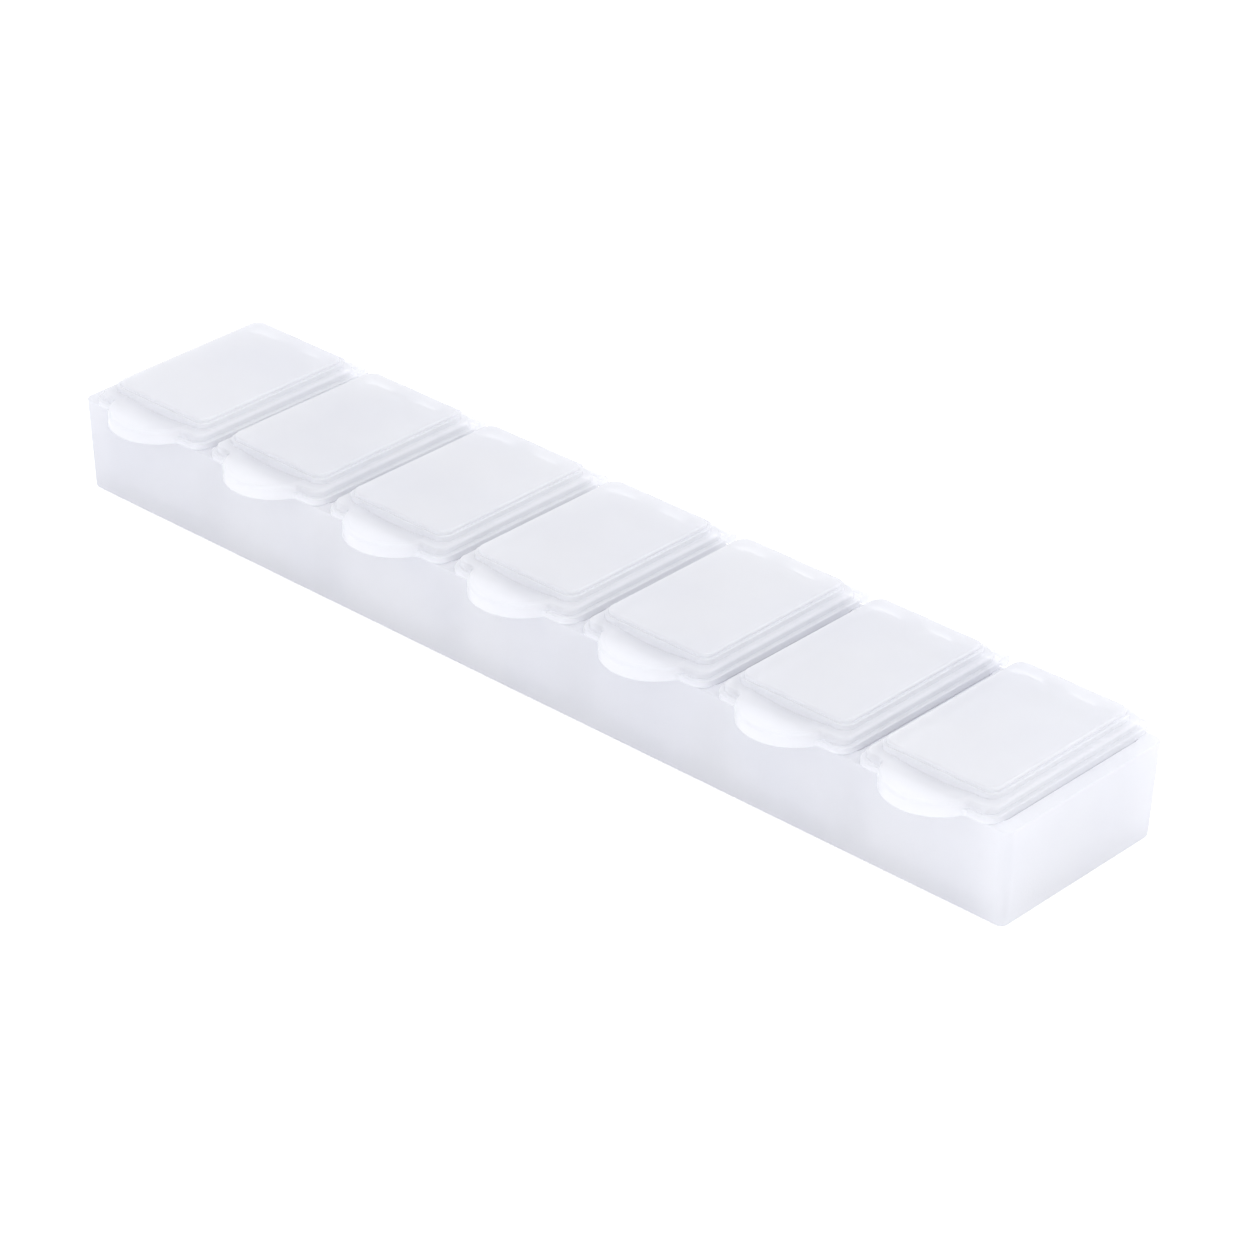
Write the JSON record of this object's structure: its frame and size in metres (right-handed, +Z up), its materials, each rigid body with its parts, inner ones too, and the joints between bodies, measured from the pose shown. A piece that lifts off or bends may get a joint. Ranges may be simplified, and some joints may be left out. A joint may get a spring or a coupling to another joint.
{
  "type": "travel pill organizer",
  "caption": "Slim travel pill box: a long drafted tray split into a row of compartments, each closed by its own hinged lid with a rounded thumb tab.",
  "frame": {"origin": "centre of the tray's flat underside", "axes": "+X along the row of compartments, +Y towards the hinges at the back, +Z up"},
  "size_m": [0.157, 0.0356, 0.0164],
  "materials": {
    "tray_plastic": "frosted translucent polypropylene",
    "lid_plastic": "satin translucent polypropylene"
  },
  "bodies": {
    "tray": {"tray": "tray_plastic"},
    "lid_1": {"lid_1": "lid_plastic"},
    "lid_2": {"lid_2": "lid_plastic"},
    "lid_3": {"lid_3": "lid_plastic"},
    "lid_4": {"lid_4": "lid_plastic"},
    "lid_5": {"lid_5": "lid_plastic"},
    "lid_6": {"lid_6": "lid_plastic"},
    "lid_7": {"lid_7": "lid_plastic"}
  },
  "joints": [
    {"name": "lid_1_hinge", "type": "hinge", "parent": "tray", "child": "lid_1", "pos_m": [-0.066, 0.0155, 0.0136], "axis": [-1, 0, 0], "range_deg": [0, 115]},
    {"name": "lid_2_hinge", "type": "hinge", "parent": "tray", "child": "lid_2", "pos_m": [-0.044, 0.0155, 0.0136], "axis": [-1, 0, 0], "range_deg": [0, 115]},
    {"name": "lid_3_hinge", "type": "hinge", "parent": "tray", "child": "lid_3", "pos_m": [-0.022, 0.0155, 0.0136], "axis": [-1, 0, 0], "range_deg": [0, 115]},
    {"name": "lid_4_hinge", "type": "hinge", "parent": "tray", "child": "lid_4", "pos_m": [0, 0.0155, 0.0136], "axis": [-1, 0, 0], "range_deg": [0, 115]},
    {"name": "lid_5_hinge", "type": "hinge", "parent": "tray", "child": "lid_5", "pos_m": [0.022, 0.0155, 0.0136], "axis": [-1, 0, 0], "range_deg": [0, 115]},
    {"name": "lid_6_hinge", "type": "hinge", "parent": "tray", "child": "lid_6", "pos_m": [0.044, 0.0155, 0.0136], "axis": [-1, 0, 0], "range_deg": [0, 115]},
    {"name": "lid_7_hinge", "type": "hinge", "parent": "tray", "child": "lid_7", "pos_m": [0.066, 0.0155, 0.0136], "axis": [-1, 0, 0], "range_deg": [0, 115]}
  ]
}
